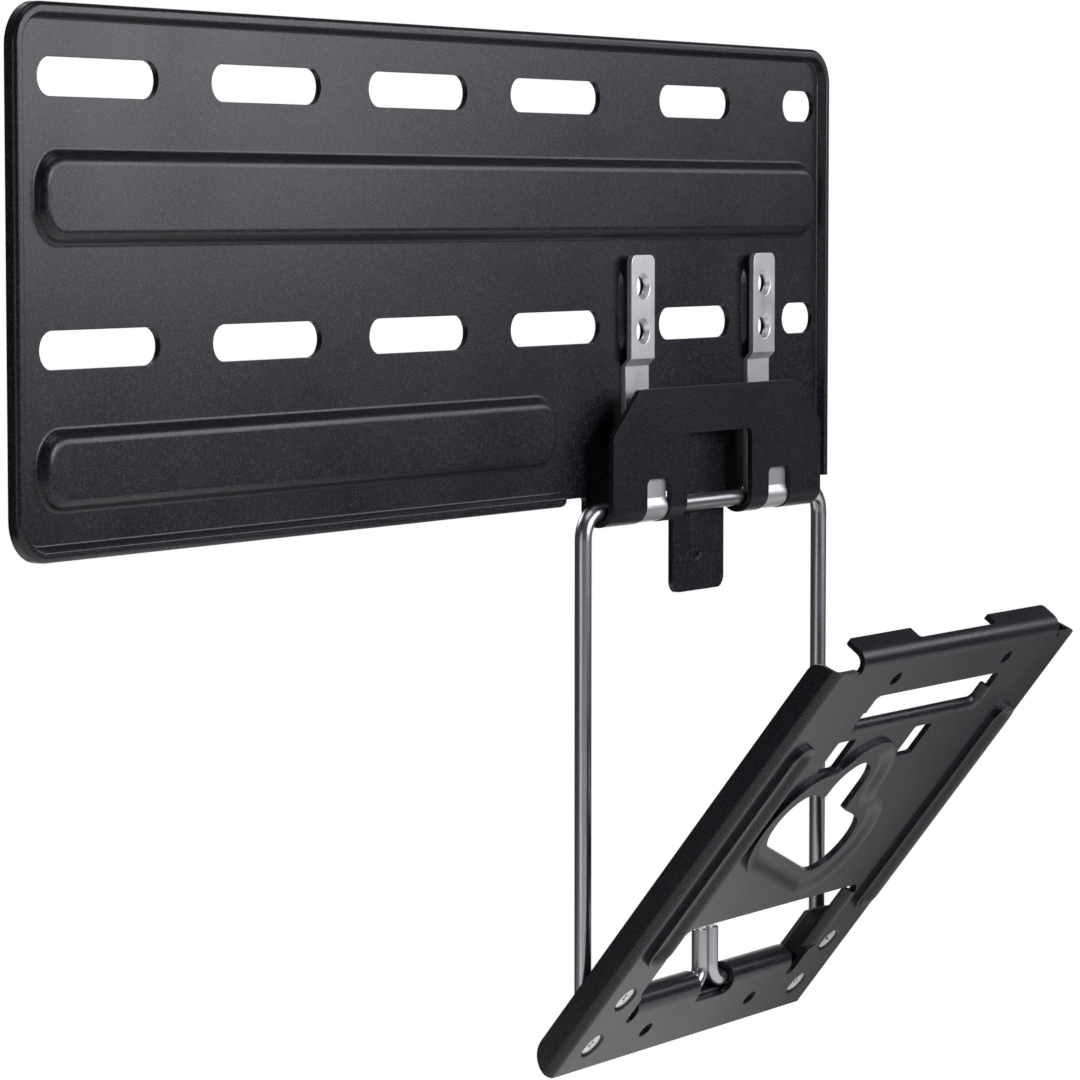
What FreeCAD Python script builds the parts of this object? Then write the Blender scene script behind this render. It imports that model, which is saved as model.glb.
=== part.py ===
import FreeCAD
import Part
import math
import os

from FreeCAD import Vector

# Millimetres. X runs right along the wall, Y runs into the wall, Z runs up.
# The origin is the middle of the back of the wall plate, which lies on the wall at Y = 0.

# wall plate
plate_width = 484.8
plate_height = 162.6
plate_thickness = 2.0
plate_corner = 13.0
bare_edge = 2.3
rim_height = 5.3
rim_band = 3.4
rim_foot = 5.2
rim_setback = 1.0
rim_bottom_end = 54.0
rim_right_end = -79.7

# slots for wall screws
slot_height = 11.5
slot_rows = (59.9, -19.6)
first_slot_x = -200.0
slot_pitch = 84.1
long_slot = 57.6
long_slot_count = 4
short_slot = 50.3
end_slot = 23.8
end_slot_x = 223.0

# pressed ribs of the wall plate
rib_left = -231.4
rib_rise = 3.3
rib_run = 5.0
rib_corner = 11.5
upper_rib_right = 234.0
upper_rib_z = 24.8
upper_rib_height = 29.0
lower_rib_right = 51.2
lower_rib_z = -54.9
lower_rib_height = 25.8

# wire bail
wire = 6.0
bail_x = 146.5
bail_clearance = 6.35
bail_length = 176.3
bail_corner = 9.0
prong_x = 3.7
prong_rise = 20.2
prong_corner = 6.0
wire_end_chamfer = 0.5
running_gap = 0.05

# straps that hold the bail
strap_thickness = 2.0
strap_width = 15.8
strap_offset = 43.4
strap_top = 5.2
strap_corner = 3.0
strap_joggle_z = -31.4
strap_joggle_drop = 2.6
strap_leg_top = -66.0
strap_leg_rise = 3.6
strap_pinch = 1.0
strap_hole = 6.5
strap_hole_mouth = 9.4
plate_hole = 9.0
strap_hole_z = -5.9
strap_hole_pitch = 15.9
pad_width = 19.2
pad_top = 3.8
pad_bottom = -32.2
pad_rise = 2.4
pad_run = 3.2

# hook fold under the wall plate
hook_axis_height = -84.2
hook_gap = 9.3
hook_lift = 1.2
hook_shoulder = 10.15
hook_top = -41.8
hook_chamfer_x = 18.4
hook_chamfer_z = 16.3
hook_corner = 3.0
neck_fillet = 1.5
strap_window = 16.6
strap_window_top = -73.7
middle_window = 46.8
middle_window_x = -0.6
middle_window_top = -58.5
window_corner = 2.6
relief_top = -79.8
tab_x = 3.2
tab_half_width = 18.2
tab_bottom = -117.1
tab_corner = 4.5
bead_top = -52.0
bead_bottom = -106.2
bead_width = 12.0
bead_rise = 1.8
bead_run = 2.6

# screen plate, drawn upright around its hinge axis and then tilted
tilt = 37.7
sheet = 2.0
screen_width = 182.0
screen_top = 164.6
screen_bottom = -23.8
flange_depth = 10.7
flange_end = 9.0
flange_top_end = 5.0
flange_top_drop = 2.9
fold_radius = 3.4
hinge_depth = 5.5
corner_chamfer = 2.0

# top flange of the screen plate
lip_inset = 16.2
lip_top = 169.4
lip_depth = 11.2
lip_radius = 5.5
lip_corner = 2.0
lip_notch = 1.3
lip_overlap = 10.0
lip_middle_half = 29.4
lip_middle_depth = 6.3

# windows of the screen plate
top_window_inset = 15.1
top_window_step = 1.4
top_window_roll_top = 142.0
top_window_corner = 2.6
top_roll_corner = 6.0
top_window_low = 135.2
top_window_high = 149.6
roll_radius = 3.6
square_slot_width = 13.3
square_slot_height = 14.6
square_slot_z = 121.5
square_slot_x = (-44.9, 12.3)
slot_corner = 1.2
low_window_margin = 30.3
low_window_top = 42.6
low_window_corner = 5.0
low_window_shoulder = 9.0
low_window_step_corner = 0.5
side_roll_low = 8.0
side_roll_radius = 4.0
slit_width = 5.1
slit_low = -3.4

# three lobes of the large cut-out: x, z, radius
lobe_left = (-41.6, 90.5, 12.6)
lobe_upper = (-16.8, 102.4, 12.4)
lobe_right = (6.0, 72.6, 13.4)
lobe_softening = 1.5
dish_margin = 11.0
dish_run = 7.6
dish_blend = 10.0
dish_rise = 1.8

# side grooves of the screen plate
groove_offset = 1.9
groove_width = 14.2
groove_low = 28.6
groove_high = 131.0
groove_rise = 2.5
groove_run = 5.6

# hinge barrel, bearing blocks and screws
barrel_gap_half = 12.0
barrel_gap_top = 6.0
barrel_gap_corner = 2.6
barrel_turn = 250.0
block_gap = 0.7
block_reach = 5.6
block_low = -20.0
block_high = 20.4
block_depth = 9.4
block_corner = 2.4
block_relief = 5.2
block_relief_length = 4.3
roll_clearance = 0.35
screw_z = 11.25
screw_head = 9.2
screw_shank = 4.4
screw_length = 10.2
screw_sink = 0.8
screw_seat = 0.12
screw_cross = 5.4
screw_cross_width = 0.95
screw_cross_depth = 1.5

# holes for the screen's bolts
top_hole_x = 42.6
top_hole_z = 157.2
top_hole = 5.8
low_hole_x = 37.5
low_hole_z = -11.4
low_hole = 6.6

# derived positions
half_width = plate_width / 2
half_height = plate_height / 2
bare_edge_z = -half_height + bare_edge
wire_radius = wire / 2
eye_inner = wire_radius + running_gap
eye_outer = eye_inner + strap_thickness
hook_axis_y = -plate_thickness - strap_thickness - eye_inner
hook_inner = hook_gap / 2
hook_outer = hook_inner + plate_thickness
hook_centre_y = -plate_thickness - hook_inner
hook_centre_z = hook_axis_height + hook_lift
hook_front_y = -plate_thickness - hook_gap - plate_thickness
screen_half = screen_width / 2
bail_half = screen_half - bail_clearance
hook_half_width = bail_half - hook_shoulder
low_window_half = screen_half - low_window_margin
top_window_half = low_window_half - top_window_inset
lip_half_width = screen_half - lip_inset
screw_x = low_window_half + side_roll_radius + screw_head
groove_x = screw_x + groove_offset
block_inner = low_window_half + block_gap
block_outer = screw_x + block_reach
block_relief_x = block_outer - block_relief_length
low_axis_z = hook_axis_height - bail_length
face_y = -hinge_depth
axis_x = Vector(1, 0, 0)
into_wall = Vector(0, 1, 0)


def polar(centre_a, centre_b, radius, degrees):
    turn = math.radians(degrees)
    return centre_a + radius * math.cos(turn), centre_b + radius * math.sin(turn)


def flat(a, b, y=0.0):
    return Vector(a, y, b)


def side(a, b, x=0.0):
    return Vector(x, a, b)


def arc_between(place, start, middle, end):
    return Part.Arc(place(*start), place(*middle), place(*end)).toShape()


def chain(place, steps):
    """Wire through steps; a step is a point, or a pair of an arc's middle and end."""
    edges = []
    here = steps[0]
    for step in steps[1:]:
        if isinstance(step[0], tuple):
            edges.append(arc_between(place, here, step[0], step[1]))
            here = step[1]
        else:
            edges.append(Part.makeLine(place(*here), place(*step)))
            here = step
    return Part.Wire(edges)


def rectangle_arcs(left, right, low, high, radius):
    """Corner arcs of a rounded rectangle, each as centre, radius, start angle and turn."""
    return [
        (right - radius, low + radius, radius, 270, 90),
        (right - radius, high - radius, radius, 0, 90),
        (left + radius, high - radius, radius, 90, 90),
        (left + radius, low + radius, radius, 180, 90),
    ]


def arc_ends(arc, inset=0.0):
    """Start, middle and end of an arc moved inwards by an inset."""
    x, z, radius, start, turn = arc
    radius -= math.copysign(inset, turn)
    return [polar(x, z, radius, start + turn * part) for part in (0, 0.5, 1)]


def outline(arcs, inset=0.0):
    """Closed wire through tangent arcs, with straight edges where they don't meet."""
    edges = []
    for arc, following in zip(arcs, arcs[1:] + arcs[:1]):
        first, middle, last = arc_ends(arc, inset)
        edges.append(arc_between(flat, first, middle, last))
        target = arc_ends(following, inset)[0]
        if math.dist(last, target) > 1e-6:
            edges.append(Part.makeLine(flat(*last), flat(*target)))
    return Part.Wire(edges)


def slab(wire_shape, y_from, y_to):
    """Prism of an outline in the plane of the wall, between two depths."""
    face = Part.Face(wire_shape)
    face.translate(Vector(0, y_from, 0))
    return face.extrude(Vector(0, y_to - y_from, 0))


def rounded_slab(left, right, low, high, radius, y_from, y_to):
    return slab(outline(rectangle_arcs(left, right, low, high, radius)), y_from, y_to)


def sweep(section, arcs, ends=None):
    """Run a section along tangent arcs and the straights between them.

    ends are the first and last point of an open path; without them the path is closed.
    """
    face = Part.Face(section)
    pieces = []

    def straight(start, end):
        step = flat(*end) - flat(*start)
        if step.Length > 1e-6:
            pieces.append(face.extrude(step))
            face.translate(step)

    if ends:
        straight(ends[0], arc_ends(arcs[0])[0])
    for index, arc in enumerate(arcs):
        centre = flat(arc[0], arc[1])
        axis = into_wall * math.copysign(1, -arc[4])
        pieces.append(face.revolve(centre, axis, abs(arc[4])))
        face.rotate(centre, axis, abs(arc[4]))
        if index + 1 < len(arcs):
            straight(arc_ends(arc)[2], arc_ends(arcs[index + 1])[0])
        elif ends:
            straight(arc_ends(arc)[2], ends[1])
        else:
            straight(arc_ends(arc)[2], arc_ends(arcs[0])[0])
    return joined(*pieces)


def box(left, right, y_from, y_to, low, high):
    return Part.makeBox(right - left, y_to - y_from, high - low, Vector(left, y_from, low))


def bar(section, x_from, x_to):
    """Section drawn in the Y-Z plane, run along X."""
    face = Part.Face(section)
    face.translate(Vector(x_from, 0, 0))
    return face.extrude(Vector(x_to - x_from, 0, 0))


def rod(radius, start, end):
    step = end - start
    return Part.makeCylinder(radius, step.Length, start, step)


def joined(first, *rest):
    shape = first
    for other in rest:
        shape = shape.fuse(other)
    return shape.removeSplitter()


def without(shape, tools):
    for tool in tools:
        shape = shape.cut(tool)
    return shape


def wall_turn(rise, run):
    """Angle and middle radius of the S-shaped wall of a pressed shape."""
    angle = 2 * math.atan2(rise, run)
    radius = rise / (2 * (1 - math.cos(angle)))
    return math.degrees(angle), radius


def pressed_wall(arcs, front, rise, run, thickness, toward, soft):
    """Sweep the wall of a pressed shape along its foot, S-shaped or as a plain ramp.

    front is the depth of the face it rises from, toward its direction along Y.
    """
    start = flat(*arc_ends(arcs[0])[0])
    inward = (flat(arcs[0][0], arcs[0][1]) - start).normalize()
    half = thickness / 2
    middle = front - toward * half

    def place(step, lift):
        return start + inward * step + into_wall * (middle + toward * lift)

    if not soft:
        ramp = [(0, -half), (run, rise - half), (run, rise + half), (0, half), (0, -half)]
        return sweep(chain(place, ramp), arcs)
    angle, radius = wall_turn(rise, run)

    def swing(offset, degrees):
        return polar(0, radius, radius + offset, degrees - 90)

    def return_swing(offset, degrees):
        return polar(run, rise - radius, radius + offset, degrees + 90)

    return sweep(chain(place, [
        swing(-half, 0),
        (swing(-half, angle / 2), swing(-half, angle)),
        (return_swing(half, angle / 2), return_swing(half, 0)),
        return_swing(-half, 0),
        (return_swing(-half, angle / 2), return_swing(-half, angle)),
        (swing(half, angle / 2), swing(half, 0)),
        swing(-half, 0),
    ]), arcs)


def press(shape, arcs, front, rise, run, thickness, toward=-1, soft=True):
    """Press a rib, groove or dish with this outline out of a flat sheet."""
    back = front - toward * thickness
    hole = slab(outline(arcs), min(front, back), max(front, back))
    wall = pressed_wall(arcs, front, rise, run, thickness, toward, soft)
    floor = slab(outline(arcs, run), front + toward * rise, back + toward * rise)
    return shape.cut(hole).fuse(wall).fuse(floor)


def slot_hole(x, z, length, height, y_from, y_to):
    """Slot with round ends."""
    return rounded_slab(
        x - length / 2, x + length / 2, z - height / 2, z + height / 2,
        height / 2, y_from, y_to)


def rim():
    """Folded rim, swept from the end of the bottom edge round to the foot of the right edge."""
    inner_top = rim_band - 0.5
    section = chain(side, [
        (-rim_setback, 0),
        (-rim_height + 1.6, 0),
        ((-rim_height + 0.47, 0.47), (-rim_height, 1.6)),
        (-rim_height, inner_top),
        ((-rim_height + 0.2, inner_top + 0.42), (-rim_height + 0.6, rim_band + 0.1)),
        (-plate_thickness - 0.8, rim_foot - 1.0),
        ((-plate_thickness - 0.2, rim_foot - 0.65), (-plate_thickness, rim_foot)),
        (0, rim_foot),
        (0, rim_foot - 2.0),
        ((-0.3, rim_foot - 2.8), (-rim_setback, rim_foot - 3.1)),
        (-rim_setback, 0),
    ])
    section.translate(Vector(rim_bottom_end, 0, -half_height))
    left = -half_width + plate_corner
    right = half_width - plate_corner
    low = -half_height + plate_corner
    high = half_height - plate_corner
    swept = sweep(section, [
        (left, low, plate_corner, 270, -90),
        (left, high, plate_corner, 180, -90),
        (right, high, plate_corner, 90, -90),
    ], ((rim_bottom_end, -half_height), (half_width, rim_right_end)))
    end_round = box(rim_bottom_end - 3, rim_bottom_end + 1, -9, 1, -half_height - 1, -half_height + 3)
    end_round = end_round.cut(rod(
        3.0, Vector(rim_bottom_end - 3, -9, -half_height + 3),
        Vector(rim_bottom_end - 3, 1, -half_height + 3)))
    return swept.cut(end_round)


def hook_section():
    """J-shaped section: neck, half turn under the rod, upright front."""
    low_turn = (
        polar(hook_centre_y, hook_centre_z, hook_outer, 270),
        polar(hook_centre_y, hook_centre_z, hook_outer, 180))
    back_turn = (
        polar(hook_centre_y, hook_centre_z, hook_inner, 270),
        polar(hook_centre_y, hook_centre_z, hook_inner, 0))
    return chain(side, [
        (-plate_thickness, bare_edge_z),
        (0, bare_edge_z),
        (0, hook_centre_z),
        low_turn,
        (hook_front_y, hook_top),
        (hook_front_y + plate_thickness, hook_top),
        (hook_front_y + plate_thickness, hook_centre_z),
        back_turn,
        (-plate_thickness, bare_edge_z),
    ])


def hook_outline():
    """Outline that the front of the hook is cut to, with angled upper corners."""
    low = hook_centre_z - hook_outer - 5
    left = bail_x - hook_half_width
    right = bail_x + hook_half_width
    outline = slab(chain(flat, [
        (left, low),
        (right, low),
        (right, hook_top - hook_chamfer_z),
        (right - hook_chamfer_x, hook_top),
        (left + hook_chamfer_x, hook_top),
        (left, hook_top - hook_chamfer_z),
        (left, low),
    ]), hook_front_y - 1, 1)
    corners = []
    for edge in outline.Edges:
        ends = [vertex.Point for vertex in edge.Vertexes]
        across = abs(ends[0].y - ends[1].y)
        if across > plate_thickness and ends[0].z > low + 1:
            corners.append(edge)
    return outline.makeFillet(hook_corner, corners)


def front_window(left, right, top):
    """Window through the hook's front, round its turn and up its back."""
    low = hook_centre_z - hook_outer - 1
    front_cut = rounded_slab(
        left, right, low - 6, top, window_corner, hook_front_y - 1, hook_centre_y)
    back_cut = rounded_slab(left, right, low - 6, relief_top, window_corner, hook_centre_y - 1, 1)
    return front_cut.fuse(back_cut)


def wall_plate():
    inner_left = -half_width + rim_foot
    inner_right = half_width - rim_foot
    inner_low = -half_height + rim_foot
    inner_high = half_height - rim_foot
    panel = rounded_slab(
        inner_left, inner_right, inner_low, inner_high, plate_corner - rim_foot,
        -plate_thickness, 0)
    skirt = box(
        rim_bottom_end - 3, inner_right, -plate_thickness, 0,
        bare_edge_z, inner_low + plate_corner)
    hook = bar(hook_section(), bail_x - hook_half_width, bail_x + hook_half_width)
    hook = hook.common(hook_outline())
    window_middle = bail_x + middle_window_x
    tab_middle = bail_x + tab_x
    windows = [front_window(
        window_middle - middle_window / 2, window_middle + middle_window / 2, middle_window_top)]
    for sign in (-1, 1):
        middle = bail_x + sign * strap_offset
        windows.append(front_window(
            middle - strap_window / 2, middle + strap_window / 2, strap_window_top))
    hook = without(hook, windows)
    panel = without(panel.fuse(skirt), windows)
    tab = box(
        tab_middle - tab_half_width, tab_middle + tab_half_width, -plate_thickness, 0,
        tab_bottom, relief_top + 3)
    tab = tab.makeFillet(tab_corner, [
        edge for edge in tab.Edges
        if abs(edge.Length - plate_thickness) < 1e-6 and edge.CenterOfMass.z < tab_bottom + 1])
    fillets = []
    for sign in (-1, 1):
        x = bail_x + sign * hook_half_width
        corner = box(
            min(x, x + sign * neck_fillet), max(x, x + sign * neck_fillet),
            -plate_thickness, 0, bare_edge_z - neck_fillet, bare_edge_z)
        corner = corner.cut(rod(
            neck_fillet,
            Vector(x + sign * neck_fillet, -plate_thickness - 1, bare_edge_z - neck_fillet),
            Vector(x + sign * neck_fillet, 1, bare_edge_z - neck_fillet)))
        fillets.append(corner)
    shape = joined(panel, rim(), hook, tab, *fillets)
    for right, z, height in (
            (upper_rib_right, upper_rib_z, upper_rib_height),
            (lower_rib_right, lower_rib_z, lower_rib_height)):
        shape = press(
            shape, rectangle_arcs(rib_left, right, z - height / 2, z + height / 2, rib_corner),
            -plate_thickness, rib_rise, rib_run, plate_thickness)
    for sign in (-1, 1):
        x = bail_x + sign * strap_offset
        pad = rectangle_arcs(x - pad_width / 2, x + pad_width / 2, pad_bottom, pad_top, pad_width / 2)
        shape = press(shape, pad, -plate_thickness, pad_rise, pad_run, plate_thickness, soft=False)
    bead = rectangle_arcs(
        tab_middle - bead_width / 2, tab_middle + bead_width / 2, bead_bottom, bead_top, bead_width / 2)
    shape = press(shape, bead, -plate_thickness, bead_rise, bead_run, plate_thickness, soft=False)
    holes = []
    for z in slot_rows:
        for index in range(long_slot_count):
            x = first_slot_x + index * slot_pitch
            holes.append(slot_hole(x, z, long_slot, slot_height, -plate_thickness - 1, 1))
        holes.append(slot_hole(bail_x, z, short_slot, slot_height, -plate_thickness - 1, 1))
        holes.append(slot_hole(end_slot_x, z, end_slot, slot_height, -plate_thickness - 1, 1))
    for sign in (-1, 1):
        for index in range(2):
            z = strap_hole_z - index * strap_hole_pitch
            x = bail_x + sign * strap_offset
            holes.append(rod(plate_hole / 2, Vector(x, -9, z), Vector(x, 1, z)))
    return without(shape, holes).removeSplitter()


def strap(sign):
    """Bent strip: raised top, joggle, long leg, eye round the rod, short front leg."""
    outer = -plate_thickness - strap_thickness
    raised = outer - pad_rise
    low_z = strap_joggle_z - strap_joggle_drop
    pinch_angle = math.degrees(math.acos(1 - strap_pinch / (2 * eye_outer)))
    front_in = hook_axis_y - eye_inner + strap_pinch
    leave = polar(hook_axis_y, hook_axis_height, eye_outer, 180 - pinch_angle)
    leave_in = polar(hook_axis_y, hook_axis_height, eye_inner, 180 - pinch_angle)
    leg_z = hook_axis_height + strap_leg_rise
    section = chain(side, [
        (raised + strap_thickness, strap_top),
        (raised + strap_thickness, strap_joggle_z),
        (-plate_thickness, low_z),
        (-plate_thickness, hook_axis_height),
        (polar(hook_axis_y, hook_axis_height, eye_outer, 270),
         polar(hook_axis_y, hook_axis_height, eye_outer, 180)),
        (polar(hook_axis_y, hook_axis_height, eye_outer, 180 - pinch_angle / 2), leave),
        (front_in - strap_thickness, leg_z),
        (front_in - strap_thickness, strap_leg_top),
        (front_in, strap_leg_top),
        (front_in, leg_z),
        leave_in,
        (polar(hook_axis_y, hook_axis_height, eye_inner, 180 - pinch_angle / 2),
         polar(hook_axis_y, hook_axis_height, eye_inner, 180)),
        (polar(hook_axis_y, hook_axis_height, eye_inner, 270),
         polar(hook_axis_y, hook_axis_height, eye_inner, 0)),
        (outer, low_z),
        (raised, strap_joggle_z),
        (raised, strap_top),
        (raised + strap_thickness, strap_top),
    ])
    middle = bail_x + sign * strap_offset
    shape = bar(section, middle - strap_width / 2, middle + strap_width / 2)
    corners = []
    for edge in shape.Edges:
        if abs(edge.Length - strap_thickness) > 1e-6:
            continue
        z = edge.CenterOfMass.z
        if abs(z - strap_top) < 1e-6 or abs(z - strap_leg_top) < 1e-6:
            corners.append(edge)
    shape = shape.makeFillet(strap_corner, corners)
    holes = []
    for index in range(2):
        z = strap_hole_z - index * strap_hole_pitch
        holes.append(rod(strap_hole / 2, Vector(middle, raised - 1, z), Vector(middle, 1, z)))
        mouth = (strap_hole_mouth - strap_hole) / 2
        holes.append(Part.makeCone(
            strap_hole_mouth / 2, strap_hole / 2, mouth, Vector(middle, raised, z), into_wall))
    return without(shape, holes)


def wire_bail():
    """One wire: short upright end, lower bar, leg, upper bar, leg, lower bar, upright end."""
    leg = bail_half - bail_corner
    near = prong_x + prong_corner
    end_z = low_axis_z + prong_rise
    low = low_axis_z + bail_corner
    high = hook_axis_height - bail_corner
    bends = [
        (bail_x + near, low_axis_z + prong_corner, prong_corner, 180, 90),
        (bail_x + leg, low, bail_corner, 270, 90),
        (bail_x + leg, high, bail_corner, 0, 90),
        (bail_x - leg, high, bail_corner, 90, 90),
        (bail_x - leg, low, bail_corner, 180, 90),
        (bail_x - near, low_axis_z + prong_corner, prong_corner, 270, 90),
    ]
    start = Vector(bail_x + prong_x, 0, end_z)
    circle = Part.Wire([Part.makeCircle(wire_radius, start, Vector(0, 0, 1))])
    shape = sweep(circle, bends, ((bail_x + prong_x, end_z), (bail_x - prong_x, end_z)))
    rims = [
        edge for edge in shape.Edges
        if edge.Closed and abs(edge.CenterOfMass.z - end_z) < 1e-6]
    shape = shape.makeChamfer(wire_end_chamfer, rims)
    shape.translate(Vector(0, hook_axis_y, 0))
    return shape


def window_roll():
    """Lower edge of the top window rolled back into a quarter round, up both its sides."""
    radius = roll_radius
    half = top_window_half + radius - top_roll_corner
    centre_y = face_y + radius
    low = top_window_low - radius + top_roll_corner
    side_x = -half - top_roll_corner

    def place(a, b):
        return Vector(side_x + a, b, top_window_roll_top)
    section = chain(place, [
        (0, face_y),
        (polar(0, centre_y, radius, -45), polar(0, centre_y, radius, 0)),
        polar(0, centre_y, radius - sheet, 0),
        (polar(0, centre_y, radius - sheet, -45), polar(0, centre_y, radius - sheet, -90)),
        (0, face_y),
    ])
    return sweep(section, [
        (-half, low, top_roll_corner, 180, 90),
        (half, low, top_roll_corner, 270, 90),
    ], ((side_x, top_window_roll_top), (-side_x, top_window_roll_top)))


def side_roll(sign):
    """Side edge of the lower window rolled back into a quarter round."""
    radius = side_roll_radius
    x_flat = sign * (low_window_half + radius)
    centre_y = face_y + radius

    def place(a, b):
        return Vector(x_flat - sign * a, b, side_roll_low)
    section = chain(place, [
        (0, face_y),
        (polar(0, centre_y, radius, -45), polar(0, centre_y, radius, 0)),
        polar(0, centre_y, radius - sheet, 0),
        (polar(0, centre_y, radius - sheet, -45), polar(0, centre_y, radius - sheet, -90)),
        (0, face_y),
    ])
    return Part.Face(section).extrude(
        Vector(0, 0, low_window_top - low_window_corner - side_roll_low))


def lobe_hull(first, second, grow):
    """Outline of two circles and the straight edges that touch both."""
    xa, za, ra = first
    xb, zb, rb = second
    ra += grow
    rb += grow
    span = math.dist((xa, za), (xb, zb))
    heading = math.degrees(math.atan2(zb - za, xb - xa))
    lean = math.degrees(math.acos((ra - rb) / span))
    return chain(flat, [
        polar(xa, za, ra, heading + lean),
        (polar(xa, za, ra, heading + 180), polar(xa, za, ra, heading - lean)),
        polar(xb, zb, rb, heading - lean),
        (polar(xb, zb, rb, heading), polar(xb, zb, rb, heading + lean)),
        polar(xa, za, ra, heading + lean),
    ])


def lobes(grow, y_from, y_to):
    """Three-lobed prism of the large cut-out, grown by a margin."""
    long_part = slab(lobe_hull(lobe_left, lobe_right, grow), y_from, y_to)
    x, z, radius = lobe_upper
    radius += grow
    foot = z - radius - 2
    tongue = slab(chain(flat, [
        (x - radius, foot),
        (x + radius, foot),
        (x + radius, z),
        ((x, z + radius), (x - radius, z)),
        (x - radius, foot),
    ]), y_from, y_to)
    return long_part.fuse(tongue).removeSplitter()


def softened(prism, radius):
    """Round the inner corners where the lobes of a prism meet."""
    corners = []
    for edge in prism.Edges:
        if not isinstance(edge.Curve, Part.Line):
            continue
        direction = edge.Vertexes[1].Point - edge.Vertexes[0].Point
        if abs(direction.y) < direction.Length - 1e-6:
            continue
        faces = prism.ancestorsOfType(edge, Part.Face)
        normals = [face.normalAt(*face.Surface.parameter(edge.CenterOfMass)) for face in faces]
        if normals[0].getAngle(normals[1]) > math.radians(20):
            corners.append(edge)
    return prism.makeFillet(radius, corners)


def bearing(start, end):
    return math.degrees(math.atan2(end[1] - start[1], end[0] - start[0]))


def blend_centre(first, second, radius):
    """Centre of the arc that touches two circles from outside, on the left of their line."""
    span = math.dist(first[:2], second[:2])
    near = first[2] + radius
    far = second[2] + radius
    lean = math.degrees(math.acos((span ** 2 + near ** 2 - far ** 2) / (2 * span * near)))
    return polar(first[0], first[1], near, bearing(first, second) + lean)


def dish_arcs():
    """Arcs around the large cut-out's lobes, grown by a margin and blended between them."""
    left, upper, right = [
        (x, z, radius + dish_margin) for x, z, radius in (lobe_left, lobe_upper, lobe_right)]
    heading = bearing(left, right)
    lean = math.degrees(math.acos((left[2] - right[2]) / math.dist(left[:2], right[:2])))
    below = heading - lean
    left_blend = blend_centre(left, upper, dish_blend)
    right_blend = blend_centre(upper, right, dish_blend)

    def arc(centre, radius, start, end, way):
        turn = (end - start) * way % 360
        return (centre[0], centre[1], radius, start, turn * way)
    return [
        arc(right, right[2], below, bearing(right, right_blend), 1),
        arc(right_blend, dish_blend, bearing(right_blend, right), bearing(right_blend, upper), -1),
        arc(upper, upper[2], bearing(upper, right_blend), bearing(upper, left_blend), 1),
        arc(left_blend, dish_blend, bearing(left_blend, upper), bearing(left_blend, left), -1),
        arc(left, left[2], bearing(left, left_blend), below, 1),
    ]


def screen_section():
    """Flat sheet with both side flanges, seen along the sheet."""
    half = screen_width / 2
    back = face_y + flange_depth

    def place(a, b):
        return Vector(a, b, screen_bottom)
    inner = fold_radius - sheet
    left_centre = (-half + fold_radius, face_y + fold_radius)
    right_centre = (half - fold_radius, face_y + fold_radius)
    return chain(place, [
        (-half, back),
        (-half, left_centre[1]),
        (polar(*left_centre, fold_radius, 225), polar(*left_centre, fold_radius, 270)),
        (right_centre[0], face_y),
        (polar(*right_centre, fold_radius, 315), polar(*right_centre, fold_radius, 0)),
        (half, back),
        (half - sheet, back),
        (half - sheet, right_centre[1]),
        (polar(*right_centre, inner, 315), polar(*right_centre, inner, 270)),
        (left_centre[0], face_y + sheet),
        (polar(*left_centre, inner, 225), polar(*left_centre, inner, 180)),
        (-half + sheet, back),
        (-half, back),
    ])


def flange_outline():
    """Side view that rounds both ends of the side flanges."""
    back = face_y + flange_depth
    back_top = screen_top - flange_top_drop
    shape = bar(chain(side, [
        (face_y - 1, screen_bottom),
        (back, screen_bottom),
        (back, back_top),
        (face_y - 1, screen_top),
        (face_y - 1, screen_bottom),
    ]), -screen_width, screen_width)
    for corner_z, radius in ((screen_bottom, flange_end), (back_top, flange_top_end)):
        shape = shape.makeFillet(radius, [
            edge for edge in shape.Edges
            if abs(edge.CenterOfMass.y - back) < 1e-6 and abs(edge.CenterOfMass.z - corner_z) < 1e-6])
    return shape


def top_lip():
    """Flange along the top edge, deep at both sides and shallow in the middle."""
    centre_y = face_y + lip_radius
    centre_z = lip_top - lip_radius
    inner = lip_radius - sheet
    section = chain(side, [
        (face_y, screen_top - lip_overlap),
        (face_y, centre_z),
        (polar(centre_y, centre_z, lip_radius, 135), (centre_y, lip_top)),
        (face_y + lip_depth, lip_top),
        (face_y + lip_depth, lip_top - sheet),
        (centre_y, lip_top - sheet),
        (polar(centre_y, centre_z, inner, 135), (face_y + sheet, centre_z)),
        (face_y + sheet, screen_top - lip_overlap),
        (face_y, screen_top - lip_overlap),
    ])
    lip = bar(section, -lip_half_width, lip_half_width)
    lip = lip.makeFillet(lip_corner, [
        edge for edge in lip.Edges
        if abs(edge.Length - sheet) < 1e-6 and abs(edge.CenterOfMass.y - face_y - lip_depth) < 1e-6])
    gap = Part.makeBox(
        2 * lip_middle_half, lip_depth, 8,
        Vector(-lip_middle_half, face_y + lip_middle_depth, lip_top - 6))
    gap = gap.makeFillet(lip_corner - 0.5, [
        edge for edge in gap.Edges
        if abs(edge.Length - 8) < 1e-6 and edge.CenterOfMass.y < face_y + lip_middle_depth + 1])
    return lip.cut(gap)


def barrel(sign):
    """Half of the hinge barrel, curled back from the lower edge of the window."""
    outer = hinge_depth
    inner = hinge_depth - sheet
    end = 180 - barrel_turn
    section = chain(side, [
        (-outer, 0),
        (polar(0, 0, outer, 180 - barrel_turn / 2), polar(0, 0, outer, end)),
        polar(0, 0, inner, end),
        (polar(0, 0, inner, 180 - barrel_turn / 2), polar(0, 0, inner, 180)),
        (-outer, 0),
    ])
    near = sign * barrel_gap_half
    far = sign * (low_window_half - slit_width)
    return bar(section, min(near, far), max(near, far))


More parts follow.
